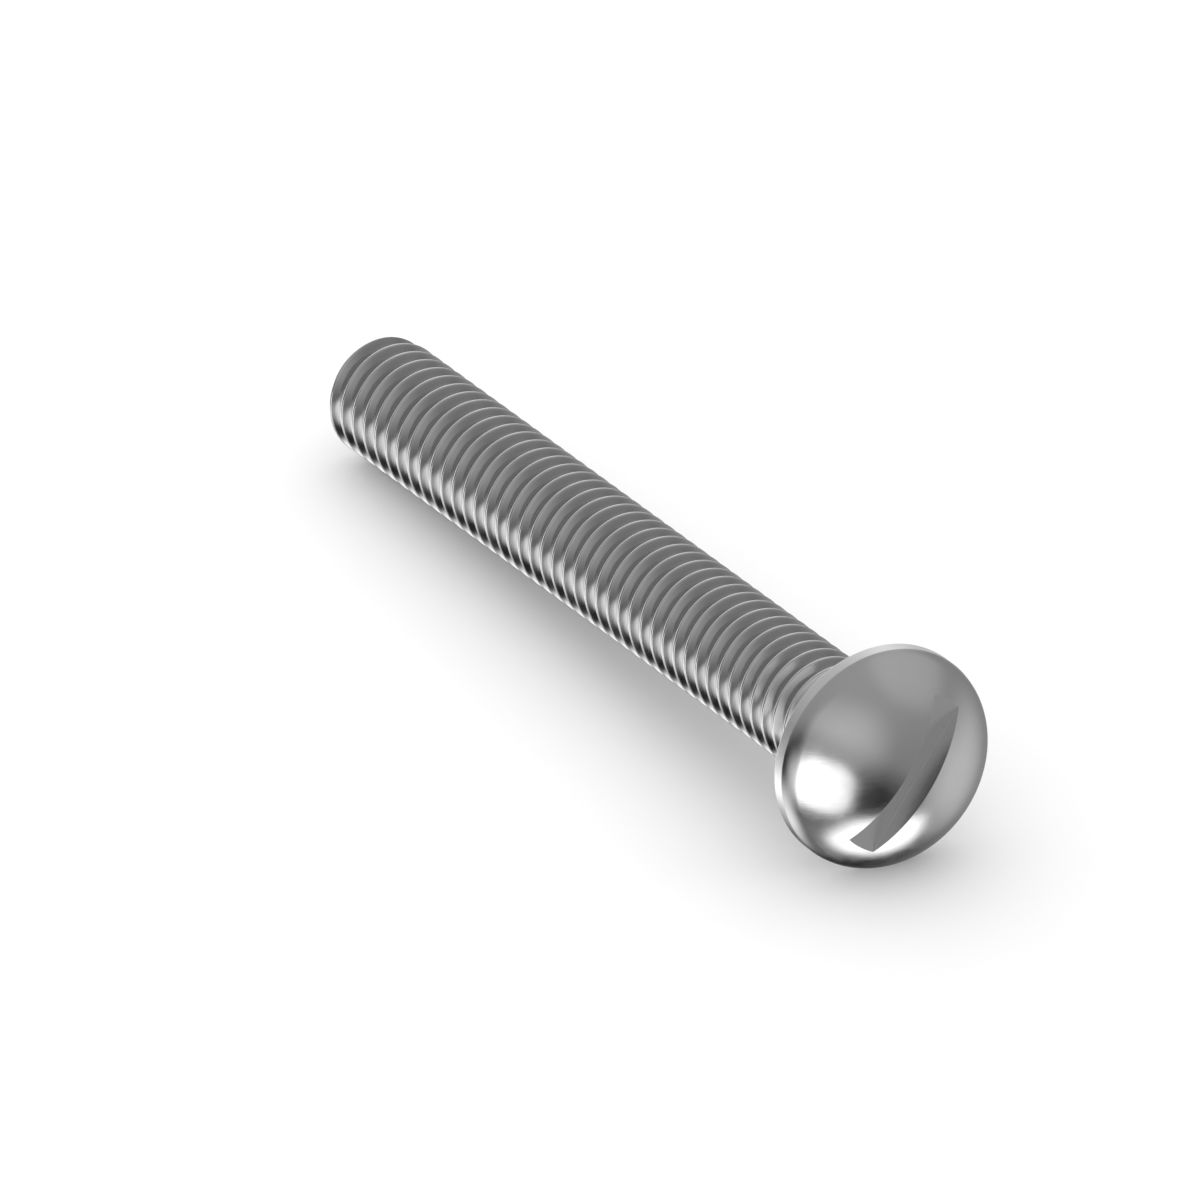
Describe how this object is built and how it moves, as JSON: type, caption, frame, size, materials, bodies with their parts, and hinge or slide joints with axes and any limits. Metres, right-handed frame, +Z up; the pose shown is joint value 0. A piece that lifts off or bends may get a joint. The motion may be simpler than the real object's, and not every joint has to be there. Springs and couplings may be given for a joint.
{
  "type": "button head screw",
  "caption": "Slotted button head machine screw, fully threaded, with a domed head on a short straight rim; it clamps parts under the flat face of its head.",
  "frame": {"origin": "middle of the head's bearing face, on the screw's axis; the floor that the screw lies on is 7.44 mm below it", "axes": "+X level, from the tip towards the head; +Z up; the screw's own axis climbs 3.18 degrees from the tip to the head, because it lies on the head's rim and on its last thread"},
  "size_m": [0.0691, 0.015, 0.0149],
  "materials": {
    "steel": "bright, rolled and polished"
  },
  "bodies": {
    "root": {"screw": "steel"}
  },
  "joints": []
}
